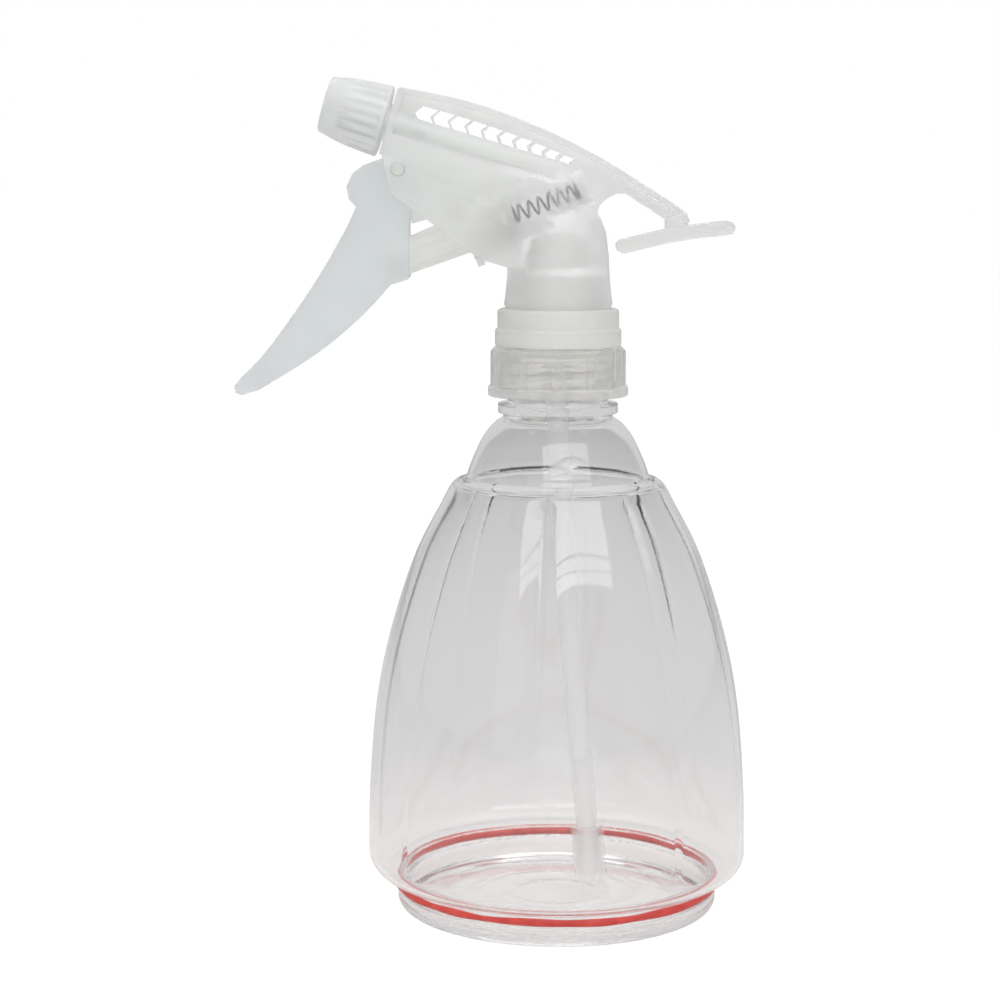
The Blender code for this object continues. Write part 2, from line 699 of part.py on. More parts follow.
def build():
    clear_scene()
    clear_pet = plastic("clear_pet", (0.93, 0.94, 0.95), 0.05, 0.25)
    clear_cap = plastic("clear_collar", (0.9, 0.9, 0.89), 0.12, 0.4)
    milky = plastic("milky_polypropylene", (0.8, 0.81, 0.78), 0.35, 0.75)
    frosted = plastic("frosted_polypropylene", (0.82, 0.83, 0.82), 0.4, 0.7)
    bluish = plastic("trigger_polypropylene", (0.78, 0.82, 0.84), 0.38, 0.75)
    rubber = plastic("seal_rubber", (0.86, 0.86, 0.84), 0.6)
    red = plastic("red_band", (0.78, 0.1, 0.07), 0.45)
    steel = plastic("spring_steel", (0.25, 0.27, 0.3), 0.3, 1.0, 1.0)
    polished = plastic("valve_ball", (0.75, 0.76, 0.78), 0.1, 1.0, 0.6)

    finish_piece(make_bottle(), clear_pet)
    finish_piece(ring_solid("red_band", BAND_R, BAND_SECTION_R, sum(BAND_GROOVE_Z) / 2, 32, 6), red)
    finish_piece(make_collar(), clear_cap)
    finish_piece(make_retainer(), milky)
    finish_piece(make_gasket(), rubber)
    finish_piece(make_valve_core(), milky)
    finish_piece(hollow_tube("dip_tube", tube_route(), TUBE_R, 12), frosted)
    finish_piece(make_strainer(), frosted)
    finish_piece(ball("inlet_ball", (0, 0, SEAT_Z + 2.45), BALL_R), polished)

    finish_piece(make_head_frame(), frosted)
    finish_piece(make_sleeve(), milky, PUMP_FRAME)
    finish_piece(make_piston(), milky, PUMP_FRAME)
    finish_piece(make_piston_seal(), rubber, PUMP_FRAME)
    finish_piece(make_spring(), steel, PUMP_FRAME)

    finish_piece(moved_origin(make_trigger(), PIVOT), bluish)
    finish_piece(across("pivot_pin", PIVOT, PIN_R, PIN_HALF), milky)
    finish_piece(across("link_pin", link_place(), LINK_R, LINK_HALF), milky)

    finish_piece(make_nozzle_cap(), frosted, NOZZLE_FRAME)
    finish_piece(make_nozzle_gasket(), rubber, NOZZLE_FRAME)
    finish_piece(make_spinner(), milky, NOZZLE_FRAME)
    x, z = nozzle_point(-9.0, 0.0)
    finish_piece(ball("outlet_ball", (x, 0.0, z), OUTLET_BALL_R), polished)


build()
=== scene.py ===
"""Looks of the trigger spray bottle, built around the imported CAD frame.

Sizes named below are millimetres, and MM turns them into the metres of the frame.  The frame has
+Z up the bottle's axis and -X towards the nozzle; y = 0 is the pump head's plane of symmetry.
"""
import json
import math

import bmesh
import bpy
from mathutils import Matrix, Vector, noise


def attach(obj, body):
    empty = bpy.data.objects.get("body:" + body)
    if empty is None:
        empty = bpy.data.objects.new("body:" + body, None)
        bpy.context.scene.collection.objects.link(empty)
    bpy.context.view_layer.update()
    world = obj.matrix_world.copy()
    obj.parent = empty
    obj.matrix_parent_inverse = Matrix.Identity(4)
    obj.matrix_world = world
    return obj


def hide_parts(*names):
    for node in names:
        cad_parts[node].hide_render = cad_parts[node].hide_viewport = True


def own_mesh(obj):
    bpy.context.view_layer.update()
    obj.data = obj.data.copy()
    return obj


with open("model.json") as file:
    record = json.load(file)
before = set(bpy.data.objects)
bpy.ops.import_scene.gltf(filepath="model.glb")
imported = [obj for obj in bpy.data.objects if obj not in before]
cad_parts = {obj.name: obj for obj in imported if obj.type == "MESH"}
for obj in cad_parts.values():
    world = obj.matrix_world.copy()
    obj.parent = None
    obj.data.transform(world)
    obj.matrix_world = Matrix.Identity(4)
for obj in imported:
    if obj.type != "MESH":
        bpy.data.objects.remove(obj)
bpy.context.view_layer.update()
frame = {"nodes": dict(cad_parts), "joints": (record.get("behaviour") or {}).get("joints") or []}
NODES = frame["nodes"]
JOINTS = {joint["name"]: joint for joint in frame["joints"]}
MM = 0.001

# Bottle, as in the frame
FOOT_R = 40.6
BAND_GROOVE_R = 39.8
BAND_GROOVE_Z = (5.2, 7.8)
BAND_R = 40.95
BAND_HALF = (0.85, 1.02)
BAND_MIDDLE_Z = 6.5
BODY_R = 48.0
BODY_CORNER_Z = 14.4
CORNER_R = 5.6
LEDGE_Z = 109.3
DOME_R = 22.9
NECK_R = 13.7
NECK_BORE_R = 10.8
NECK_ROOT_R = 12.6
LIP_Z = 139.0
BEAD_R = 15.0
BEAD_Z = (125.6, 128.3)
WALL = 1.1
BASE_WALL = 1.5
BASE_RING = 0.1
LOBES = 8
GROOVE_ANGLE = math.radians(-98.0)
GROOVE_DEPTH = 1.5
LOW_GROOVE_DEPTH = 0.5
BOTTLE_SEGMENTS = 256
THREAD_PITCH = 4.233
THREAD_HEIGHT = 1.1
THREAD_Z = (131.0, 137.6)

# Neck pieces
COLLAR_Z = (130.0, 142.2)
COLLAR_RIBS = 12
RIB_ANGLE = math.radians(-93.0)
COLLAR_R = 16.9
COLLAR_RIM_R = 17.5
RIB_HEIGHT = 0.55
COLLAR_BORE_R = 14.1
DECK_Z = (141.5, 142.9)
DECK_HOLE_R = 11.9
HUB_R = 14.3
RING_STEP_R = (15.75, 15.15)
RING_Z = (142.5, 146.8, 151.6)
SHROUD_R = 13.1
GAP = 0.3

# Pump head; the axes come from the joints, and PUMP_ORIGIN is a point on the pump's axis, in metres,
# from which the distances along that axis are counted
PUMP_AXIS = Vector(JOINTS["plunger_slide"]["axis"])
PUMP_ORIGIN = Vector((-0.037, 0.0, 0.1648))
NOZZLE_AXIS = Vector(JOINTS["nozzle_turn"]["axis"])
NOZZLE_ORIGIN = Vector(JOINTS["nozzle_turn"]["pos_m"])
PIVOT = Vector(JOINTS["trigger_pull"]["pos_m"])
PIN_R = 1.77
PIN_HALF = 9.25
NOZZLE_FLUTES = 20
FLUTE_DEPTH = 0.55
FLUTE_START = 0.8                  # along the nozzle from its rear
FLUTE_END = 11.5
FLUTE_POINT = 5.0                  # length of the flutes' pointed ends
PISTON_END = 27.2
POCKET_END = 45.3
SPRING_R = 1.9
SPRING_WIRE_R = 0.3
SPRING_TURNS = 8
CLOSED_TURNS = 1.0
TURN_STEPS = 36
TUBE_R = (2.85, 2.0)
TUBE_TOP_Z = 143.0
STRAINER_R = 4.2
SPRING_WINDOW = (-4.0, 0.0, 177.5)    # middle of the head's thinnest part
WINDOW_R = 20.0
WINDOW_CORE = 0.2                  # share of the window's radius that is thinnest all over

# Surface detail, in features per metre
STREAKS = 60.0
WAVES = 45.0
CLOUDS = 130.0
PEEL = 220.0
BLOOM = 260.0
STAINS = 500.0
SATIN = 700.0
POLISH = 900.0
DRAG = 1500.0
GRAIN = 3200.0
RELIEF = 0.0002                    # metres

# See-through plastic
MILKY_SHADE = (0.8, 0.8, 0.8)      # lamp light that a milky wall lets by
PLASTIC_IOR = 1.45
SCATTER_DEPTH = 0.003              # metres

# Studio, in metres
FLOOR_HALF = 6.0
FLOOR_DROP = 0.0002
FLOOR_GLOW = 1.2
FLOOR_GLOW_SHARE = 0.75
# Painted pool of light on the floor: its colour by the bottle, its colour further out, and where it fades
PAINTED_POOL_CENTRE = (0.80, 0.775, 0.76)
PAINTED_POOL_OUTSIDE = (0.63, 0.625, 0.62)
PAINTED_POOL_FADE = (0.04, 0.17)
WALL_LIGHT = (0.65, 0.645, 0.645)
SIDE_LIGHT = (0.63, 0.63, 0.64)
SIDE_START = (0.45, 0.85)          # sideways lean at which the walls begin and end to darken
BOUNCES = 32
SOFTBOX = Vector((0.16, -0.72, 0.82))
SOFTBOX_UP = Vector((-0.14, 0.62, 0.77))
SOFTBOX_WIDTH = 1.1
SOFTBOX_STRIPS = ((0.115, 0.29), (-0.105, 0.11), (-0.22, 0.09))     # place up the box, height
SOFTBOX_POWER = 8.0                # watts per metre of height
SOFTBOX_AIM = (0.0, 0.0, 0.1)
FILL_AIM = (0.0, 0.0, 0.12)
CAMERA_PLACE = (-0.0145, -0.582, 0.1817)
CAMERA_DIP = math.radians(7.65)
CAMERA_LENS = 84.0                 # millimetres
CAMERA_NEAR = 0.01


# ---------------------------------------------------------------- mesh tools

def mesh_piece(name, points, faces):
    mesh = bpy.data.meshes.new(name)
    mesh.from_pydata([Vector(p) * MM for p in points], [], faces)
    form = bmesh.new()
    form.from_mesh(mesh)
    bmesh.ops.recalc_face_normals(form, faces=form.faces)
    form.to_mesh(mesh)
    form.free()
    made = bpy.data.objects.new(name, mesh)
    bpy.context.scene.collection.objects.link(made)
    return made


def turned(name, profile, segments, shape=None, start=0.0, closed=False):
    """A turned solid; shape(angle, radius, height) may change a point's radius and height."""
    points = []
    rings = []
    for radius, height in profile:
        if radius == 0:
            rings.append([len(points)])
            points.append((0, 0, height))
            continue
        ring = []
        for step in range(segments):
            angle = start + math.tau * step / segments
            r, z = shape(angle, radius, height) if shape else (radius, height)
            ring.append(len(points))
            points.append((r * math.cos(angle), r * math.sin(angle), z))
        rings.append(ring)
    pairs = list(zip(rings, rings[1:]))
    if closed:
        pairs.append((rings[-1], rings[0]))
    faces = []
    for low, high in pairs:
        for step in range(segments):
            after = (step + 1) % segments
            if len(low) == len(high) == 1:
                break
            if len(low) == 1:
                faces.append((low[0], high[step], high[after]))
            elif len(high) == 1:
                faces.append((low[step], high[0], low[after]))
            else:
                faces.append((low[step], low[after], high[after], high[step]))
    return mesh_piece(name, points, faces)


def arc(centre, radius, first, last, steps):
    turn = [math.radians(first + (last - first) * step / steps) for step in range(steps + 1)]
    return [(centre[0] + radius * math.cos(a), centre[1] + radius * math.sin(a)) for a in turn]


def smooth_curve(knots, steps):
    """Points on a Catmull-Rom curve through the knots."""
    padded = [knots[0], *knots, knots[-1]]
    out = []
    for before, a, b, beyond in zip(padded, padded[1:], padded[2:], padded[3:]):
        for step in range(steps):
            t = step / steps
            out.append(tuple(
                0.5 * (2 * q + (r - p) * t + (2 * p - 5 * q + 4 * r - s) * t * t
                       + (3 * q - p - 3 * r + s) * t ** 3)
                for p, q, r, s in zip(before, a, b, beyond)))
    out.append(tuple(knots[-1]))
    return out


def rounded(profile, radius, steps=3, closed=True):
    """The same profile with its corners rounded by short arcs of that size."""
    out = []
    count = len(profile)
    for index, corner in enumerate(profile):
        if not closed and index in (0, count - 1):
            out.append(corner)
            continue
        here = Vector(corner)
        back = Vector(profile[index - 1]) - here
        on = Vector(profile[(index + 1) % count]) - here
        reach = min(radius, back.length * 0.45, on.length * 0.45)
        first = here + back.normalized() * reach
        last = here + on.normalized() * reach
        for step in range(steps + 1):
            t = step / steps
            point = first * (1 - t) ** 2 + here * (2 * t * (1 - t)) + last * t * t
            out.append((point.x, point.y))
    return out


def along_axis(piece, origin, axis):
    """Stand a piece built along +Z on an inclined axis in the plane y = 0."""
    slope = math.atan2(axis.x, axis.z)
    piece.data.transform(Matrix.Translation(origin) @ Matrix.Rotation(slope, 4, "Y"))
    return piece


def bridge(rings):
    """The faces between neighbouring rings of point numbers, each with as many points."""
    faces = []
    for low, high in zip(rings, rings[1:]):
        for side in range(len(low)):
            after = (side + 1) % len(low)
            faces.append((low[side], low[after], high[after], high[side]))
    return faces


def hollow_tube(name, path, radii, sides):
    """A tube along a path in the plane y = 0, with an outer and an inner radius."""
    points = []
    walls = []
    for radius in radii:
        wall = []
        for step, place in enumerate(path):
            before = Vector(path[max(step - 1, 0)])
            beyond = Vector(path[min(step + 1, len(path) - 1)])
            first = Vector((0, 1, 0))
            second = (beyond - before).normalized().cross(first)
            wall.append(range(len(points), len(points) + sides))
            for side in range(sides):
                angle = math.tau * side / sides
                spoke = first * math.cos(angle) + second * math.sin(angle)
                points.append(Vector(place) + radius * spoke)
        walls.append(wall)
    outer, inner = walls
    return mesh_piece(name, points, bridge([*outer, *inner[::-1], outer[0]]))


def softened_copy(node, name, width, segments=3):
    """A copy of a CAD node's mesh with its moulded edges rounded."""
    mesh = NODES[node].data.copy()
    mesh.materials.clear()
    form = bmesh.new()
    form.from_mesh(mesh)
    bmesh.ops.remove_doubles(form, verts=form.verts, dist=0.000002)
    bmesh.ops.dissolve_limit(form, angle_limit=math.radians(1.0), verts=form.verts, edges=form.edges)
    form.to_mesh(mesh)
    form.free()
    made = bpy.data.objects.new(name, mesh)
    bpy.context.scene.collection.objects.link(made)
    bevel = made.modifiers.new("moulded_edges", "BEVEL")
    bevel.width = width * MM
    bevel.segments = segments
    bevel.limit_method = "ANGLE"
    bevel.angle_limit = math.radians(38)
    bevel.use_clamp_overlap = True
    bpy.context.view_layer.update()
    rounded_form = made.evaluated_get(bpy.context.evaluated_depsgraph_get())
    result = bpy.data.meshes.new_from_object(rounded_form)
    made.modifiers.clear()
    made.data = result
    return made


def smooth(piece, angle=35):
    piece.data.shade_smooth()
    piece.data.set_sharp_from_angle(angle=math.radians(angle))
    return piece


# ---------------------------------------------------------------- materials

def new_material(name):
    made = bpy.data.materials.new(name)
    made.use_nodes = True
    tree = made.node_tree
    return made, tree, tree.nodes["Principled BSDF"]


def add_node(tree, kind, **values):
    node = tree.nodes.new(kind)
    for key, value in values.items():
        if key in node.inputs:
            node.inputs[key].default_value = value
        else:
            setattr(node, key, value)
    return node


def noise_of(tree, scale, detail=3.0, stretch=None):
    """A noise texture in object space, in features per metre, stretched along an axis if asked."""
    place = add_node(tree, "ShaderNodeTexCoord")
    source = place.outputs["Object"]
    if stretch:
        mapping = add_node(tree, "ShaderNodeMapping")
        mapping.inputs["Scale"].default_value = stretch
        tree.links.new(source, mapping.inputs["Vector"])
        source = mapping.outputs["Vector"]
    made = add_node(tree, "ShaderNodeTexNoise")
    made.inputs["Scale"].default_value = scale
    made.inputs["Detail"].default_value = detail
    tree.links.new(source, made.inputs["Vector"])
    return made.outputs["Fac"]


def ramp(tree, source, low, high, start=0.3, end=0.7):
    made = add_node(tree, "ShaderNodeValToRGB")
    made.color_ramp.elements[0].position = start
    made.color_ramp.elements[1].position = end
    made.color_ramp.elements[0].color = (*low, 1.0)
    made.color_ramp.elements[1].color = (*high, 1.0)
    tree.links.new(source, made.inputs["Fac"])
    return made.outputs["Color"]


def spread(tree, source, low, high):
    made = add_node(tree, "ShaderNodeMapRange")
    made.inputs["To Min"].default_value = low
    made.inputs["To Max"].default_value = high
    tree.links.new(source, made.inputs["Value"])
    return made.outputs["Result"]


def bump(tree, shader, sources, distance):
    """Bumps stacked one on another; sources is a list of (texture output, strength)."""
    last = None
    for source, strength in sources:
        made = add_node(tree, "ShaderNodeBump")
        made.inputs["Strength"].default_value = strength
        made.inputs["Distance"].default_value = distance
        tree.links.new(source, made.inputs["Height"])
        if last:
            tree.links.new(last, made.inputs["Normal"])
        last = made.outputs["Normal"]
    tree.links.new(last, shader.inputs["Normal"])


def let_lamps_through(tree, shader, tint):
    """Light from lamps passes a see-through wall, as it does in life, instead of stopping at it."""
    path = add_node(tree, "ShaderNodeLightPath")
    open_side = add_node(tree, "ShaderNodeBsdfTransparent")
    open_side.inputs["Color"].default_value = (*tint, 1.0)
    mix = add_node(tree, "ShaderNodeMixShader")
    tree.links.new(path.outputs["Is Shadow Ray"], mix.inputs["Fac"])
    tree.links.new(shader.outputs["BSDF"], mix.inputs[1])
    tree.links.new(open_side.outputs["BSDF"], mix.inputs[2])
    tree.links.new(mix.outputs["Shader"], tree.nodes["Material Output"].inputs["Surface"])


def clear_plastic(name, tint, deep, roughness, ior, waviness):
    """Glossy clear plastic: faint flow streaks in its colour and a slightly wavy skin."""
    made, tree, shader = new_material(name)
    streaks = noise_of(tree, STREAKS, 4.0, (1.0, 1.0, 0.12))
    tree.links.new(ramp(tree, streaks, deep, tint), shader.inputs["Base Color"])
    tree.links.new(spread(tree, noise_of(tree, POLISH), roughness * 0.6, roughness * 1.5),
                   shader.inputs["Roughness"])
    shader.inputs["Transmission Weight"].default_value = 1.0
    shader.inputs["IOR"].default_value = ior
    waves = noise_of(tree, WAVES, 2.0, (1.0, 1.0, 0.35))
    fine = noise_of(tree, 2600.0, 2.0)
    bump(tree, shader, [(waves, waviness), (fine, waviness * 0.12)], RELIEF * 3)
    let_lamps_through(tree, shader, tint)
    return made


def milky_plastic(name, pale, deep, roughness, transmission, solid, grain=0.12):
    """Translucent polypropylene: cloudy colour, satin skin with a fine eroded grain."""
    made, tree, shader = new_material(name)
    cloud = noise_of(tree, CLOUDS, 4.0)
    tree.links.new(ramp(tree, cloud, deep, pale), shader.inputs["Base Color"])
    tree.links.new(spread(tree, noise_of(tree, SATIN), roughness * 0.8, roughness * 1.25),
                   shader.inputs["Roughness"])
    shader.inputs["Transmission Weight"].default_value = transmission
    shader.inputs["Subsurface Weight"].default_value = 0.5
    shader.inputs["Subsurface Radius"].default_value = (1.0, 1.0, 0.9)
    shader.inputs["Subsurface Scale"].default_value = SCATTER_DEPTH
    shader.inputs["IOR"].default_value = PLASTIC_IOR
    shader.inputs["Alpha"].default_value = solid
    bump(tree, shader, [(noise_of(tree, GRAIN, 2.0), grain),
                        (noise_of(tree, PEEL, 2.0), grain * 0.6)], RELIEF)
    let_lamps_through(tree, shader, MILKY_SHADE)
    return made


def thin_round(paint, solid):
    """The moulding is thinnest round the spring, so more is seen straight through it there."""
    tree = paint.node_tree
    shader = tree.nodes["Principled BSDF"]
    place = add_node(tree, "ShaderNodeTexCoord")
    flat = add_node(tree, "ShaderNodeVectorMath", operation="MULTIPLY")
    flat.inputs[1].default_value = (1.0, 0.0, 1.0)
    tree.links.new(place.outputs["Object"], flat.inputs[0])
    gap = add_node(tree, "ShaderNodeVectorMath", operation="DISTANCE")
    gap.inputs[1].default_value = Vector(SPRING_WINDOW) * MM
    tree.links.new(flat.outputs["Vector"], gap.inputs[0])
    fade = add_node(tree, "ShaderNodeMapRange", interpolation_type="SMOOTHSTEP")
    fade.inputs["From Min"].default_value = WINDOW_R * WINDOW_CORE * MM
    fade.inputs["From Max"].default_value = WINDOW_R * MM
    fade.inputs["To Min"].default_value = solid
    fade.inputs["To Max"].default_value = shader.inputs["Alpha"].default_value
    tree.links.new(gap.outputs["Value"], fade.inputs["Value"])
    tree.links.new(fade.outputs["Result"], shader.inputs["Alpha"])


def rubber_band(name):
    """Elastic band: red rubber with a fine lengthwise drag and a dry bloom."""
    made, tree, shader = new_material(name)
    bloom = noise_of(tree, BLOOM, 5.0)
    tree.links.new(ramp(tree, bloom, (0.50, 0.035, 0.028), (0.66, 0.075, 0.06)),
                   shader.inputs["Base Color"])
    tree.links.new(spread(tree, noise_of(tree, POLISH), 0.32, 0.55), shader.inputs["Roughness"])
    shader.inputs["Subsurface Weight"].default_value = 0.2
    shader.inputs["Subsurface Radius"].default_value = (1.0, 0.3, 0.2)
    shader.inputs["Subsurface Scale"].default_value = 0.001
    bump(tree, shader, [(noise_of(tree, DRAG, 3.0, (1.0, 1.0, 5.0)), 0.25)], RELIEF)
    return made


def soft_seal(name):
    """Pale rubber of the rings and gaskets, dull and very slightly grained."""
    made, tree, shader = new_material(name)
    tree.links.new(ramp(tree, noise_of(tree, 400.0), (0.74, 0.74, 0.70), (0.82, 0.82, 0.79)),
                   shader.inputs["Base Color"])
    tree.links.new(spread(tree, noise_of(tree, POLISH), 0.5, 0.7), shader.inputs["Roughness"])
    bump(tree, shader, [(noise_of(tree, 2400.0), 0.15)], RELIEF)
    return made


def metal(name, low, high, roughness, drawn):
    """Bare metal; drawn wire gets fine lines round the wire, a ball only a polish."""
    made, tree, shader = new_material(name)
    tree.links.new(ramp(tree, noise_of(tree, STAINS, 4.0), low, high), shader.inputs["Base Color"])
    tree.links.new(spread(tree, noise_of(tree, 1200.0, 3.0), roughness * 0.7, roughness * 1.4),
                   shader.inputs["Roughness"])
    shader.inputs["Metallic"].default_value = 1.0
    bump(tree, shader, [(noise_of(tree, 3000.0, 2.0), drawn)], RELIEF / 2)
    return made


PET = clear_plastic("clear_pet", (0.99, 0.99, 0.99), (0.975, 0.975, 0.98), 0.025, 1.42, 0.05)
COLLAR = milky_plastic("clear_collar", (0.95, 0.95, 0.93), (0.92, 0.92, 0.90), 0.24, 0.86, 0.75, 0.05)
FROSTED = milky_plastic("frosted_pp", (0.86, 0.87, 0.86), (0.82, 0.835, 0.825), 0.48, 0.66, 0.72)
MILKY = milky_plastic("milky_pp", (0.92, 0.925, 0.895), (0.89, 0.895, 0.865), 0.40, 0.66, 0.85)
BLUISH = milky_plastic("trigger_pp", (0.82, 0.845, 0.85), (0.79, 0.82, 0.825), 0.46, 0.66, 0.85)
NOZZLE = milky_plastic("nozzle_pp", (0.76, 0.77, 0.77), (0.72, 0.735, 0.735), 0.32, 0.25, 0.72, 0.02)
TUBE = milky_plastic("tube_pp", (0.93, 0.93, 0.93), (0.90, 0.90, 0.905), 0.40, 0.86, 0.24, 0.02)
INNER = milky_plastic("inner_pp", (0.93, 0.93, 0.92), (0.91, 0.91, 0.90), 0.30, 0.85, 0.60, 0.03)
thin_round(FROSTED, 0.24)
thin_round(INNER, 0.12)
RED = rubber_band("red_elastic")
SEAL = soft_seal("seal_rubber")
STEEL = metal("spring_steel", (0.06, 0.07, 0.09), (0.14, 0.15, 0.18), 0.35, 0.2)
BALL = metal("steel_ball", (0.55, 0.56, 0.58), (0.70, 0.71, 0.72), 0.12, 0.02)


def wear(piece, paint, body, slot, *replaced):
    """Finish a new piece: its material, its body and the CAD nodes it stands for. The slot argument is not
    used.
    """
    piece.data.materials.clear()
    piece.data.materials.append(paint)
    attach(piece, body)
    if replaced:
        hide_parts(*replaced)
    return piece


def repaint(node, paint):
    """A carried-over CAD node gets a finished material."""
    mesh = NODES[node].data
    mesh.materials.clear()
    mesh.materials.append(paint)


# ---------------------------------------------------------------- bottle

def groove(angle):
    """1 in a groove's line, falling quickly to 0 on the lobe beside it."""
    return (1 - abs(math.sin((angle - GROOVE_ANGLE) * LOBES / 2))) ** 3


def share(value, start, end):
    """How far a value has come from start to end, from 0 to 1, with soft ends."""
    f = min(max((value - start) / (end - start), 0.0), 1.0)
    return f * f * (3 - 2 * f)


def groove_depth(height):
    """The grooves are deepest below the shoulder and run out at the foot and at the ledge."""
    depth = LOW_GROOVE_DEPTH + (GROOVE_DEPTH - LOW_GROOVE_DEPTH) * share(height, 24.0, 84.0)
    above_foot = share(height, BODY_CORNER_Z - 2.0, BODY_CORNER_Z + 4.0)
    below_ledge = share(height, LEDGE_Z - 0.6, 104.0)
    return depth * above_foot * below_ledge


def thread(angle, height):
    """How far the screw thread stands out of the neck, running out softly at both ends."""
    low, high = THREAD_Z
    if not low < height < high:
        return 0.0
    phase = ((height - low) / THREAD_PITCH - (angle - GROOVE_ANGLE) / math.tau) % 1.0
    runout = min(1.0, (height - low) / 0.8, (high - height) / 0.8)
    return THREAD_HEIGHT * runout * max(0.0, 1 - abs(phase - 0.5) / 0.32) ** 0.5


def bottle_shape(angle, radius, height):
    """Grooves between the lobes and a thread on the neck; the bore and the lip stay round."""
    if radius < NECK_ROOT_R - 0.1:
        return radius, height
    if height > BEAD_Z[1] + 0.5:
        return radius + thread(angle, height), height
    return radius - groove_depth(height) * groove(angle), height


def body_side(steps):
    """The side of the body from its widest ring up to the ledge."""
    knots = [(BODY_R, BODY_CORNER_Z), (47.7, 30.2), (45.9, 52.2), (42.2, 70.8), (36.0, 90.0),
             (29.3, 103.2)]
    return smooth_curve(knots, steps)


def foot_side():
    """From the edge of the base up past the band's groove to the overhang."""
    return [*arc((FOOT_R - 2.0, 2.0), 2.0, -90, 0, 6),
            (FOOT_R, BAND_GROOVE_Z[0] - 0.4), (BAND_GROOVE_R + 0.1, BAND_GROOVE_Z[0] - 0.05),
            (BAND_GROOVE_R, BAND_GROOVE_Z[0] + 0.3), (BAND_GROOVE_R, BAND_GROOVE_Z[1] - 0.2),
            (BAND_GROOVE_R + 0.25, 8.25), (BAND_GROOVE_R + 1.0, 8.6)]


def body_and_shoulder():
    """From the body's lower corner over the ledge and the dome to the neck."""
    corner = arc((BODY_R - CORNER_R, BODY_CORNER_Z), CORNER_R, -82, -6, 12)
    ledge = smooth_curve([(28.3, 105.2), (26.9, 107.5), (25.3, 108.9), (DOME_R + 0.7, LEDGE_Z)], 4)
    dome = smooth_curve([(DOME_R + 0.1, 109.7), (DOME_R - 0.25, 110.6), (22.2, 112.0), (20.9, 115.2),
                         (18.6, 119.9), (16.0, 123.1), (14.3, 124.3)], 4)
    return corner + body_side(14) + ledge + dome


def bottle_outside():
    """From the middle of the base, with its three shallow rings, up to the end of the screw thread."""
    base = [(0, 0), (9, 0)]
    for ring in (12.0, 20.0, 28.0):
        base += [(ring - 0.8, 0.0), (ring, BASE_RING), (ring + 0.8, 0.0)]
    bead = [(BEAD_R, BEAD_Z[0] + 0.1), (BEAD_R, BEAD_Z[1] - 0.1)]
    neck = rounded([(NECK_R, 124.7), (NECK_R, BEAD_Z[0]), *bead, (NECK_ROOT_R, BEAD_Z[1]),
                    (NECK_ROOT_R, THREAD_Z[0] - 0.3)], 0.4, 3, closed=False)
    steps = 30
    span = THREAD_Z[1] - THREAD_Z[0]
    screw = [(NECK_ROOT_R, THREAD_Z[0] + span * step / steps) for step in range(steps + 1)]
    return base + [(36.0, 0)] + foot_side() + body_and_shoulder() + neck + screw


def moved_inwards(points, depth):
    """The same line moved towards the axis side by a wall's thickness."""
    out = []
    for step, (radius, height) in enumerate(points):
        ahead = Vector(points[min(step + 1, len(points) - 1)])
        behind = Vector(points[max(step - 1, 0)])
        along = (ahead - behind).normalized()
        out.append((radius - depth * along.y, height + depth * along.x))
    return out


def bottle_inside():
    """The inner wall from the lip down to the floor, one wall thickness inside the outer skin."""
    lip = [(NECK_ROOT_R, LIP_Z - 0.4), (NECK_ROOT_R - 0.4, LIP_Z), (NECK_BORE_R + 0.4, LIP_Z),
           (NECK_BORE_R, LIP_Z - 0.4), (NECK_BORE_R, 126.5), (11.1, 125.0)]
    skin = moved_inwards(body_and_shoulder(), WALL)
    shoulder = [(radius, height) for radius, height in skin
                if radius > 12.0 and not (radius < 25.5 and 107.2 < height < 108.6)]
    foot = [(38.9, 8.6), (38.5, 7.6), (38.4, 5.0), (38.2, 3.2), (37.0, BASE_WALL + 0.3), (35.6, BASE_WALL)]
    floor = [(30.0, BASE_WALL), (20.0, BASE_WALL), (8.0, BASE_WALL), (0, BASE_WALL)]
    return lip + shoulder[::-1] + foot + floor


def make_bottle():
    profile = bottle_outside() + bottle_inside()
    made = turned("bottle_shell", profile, BOTTLE_SEGMENTS, bottle_shape, GROOVE_ANGLE)
    return wear(smooth(made, 50), PET, "bottle", "clear_pet", "bottle")


def make_band():
    """A slightly twisted elastic band lying in the groove above the foot."""
    sides = 14
    turns = [math.tau * side / sides for side in range(sides)]
    half_out, half_up = BAND_HALF
    profile = [(BAND_R + half_out * math.cos(a), BAND_MIDDLE_Z + half_up * math.sin(a)) for a in turns]

    def drag(angle, radius, height):
        place = Vector((math.cos(angle), math.sin(angle), 0.0))
        wave = noise.noise(place * 2.6)
        swell = 0.92 + 0.35 * noise.noise(place * 3.4 + Vector((0.0, 0.0, 4.0)))
        out = (radius - BAND_R) * min(swell, 1.0)
        return BAND_R + out, BAND_MIDDLE_Z + (height - BAND_MIDDLE_Z) * swell + 0.3 * wave

    made = turned("elastic_band", profile, 220, drag, closed=True)
    return wear(smooth(made, 60), RED, "bottle", "red_elastic", "red_band")


# ---------------------------------------------------------------- neck pieces

def collar_shape(angle, radius, height):
    """Narrow upright ribs on the skirt, with soft sides."""
    if abs(radius - COLLAR_R) > 0.02:
        return radius, height
    crest = abs(math.cos((angle - RIB_ANGLE) * COLLAR_RIBS / 2))
    rib = min(max((crest - 0.93) / 0.04, 0.0), 1.0)
    return radius - RIB_HEIGHT * (1 - rib), height


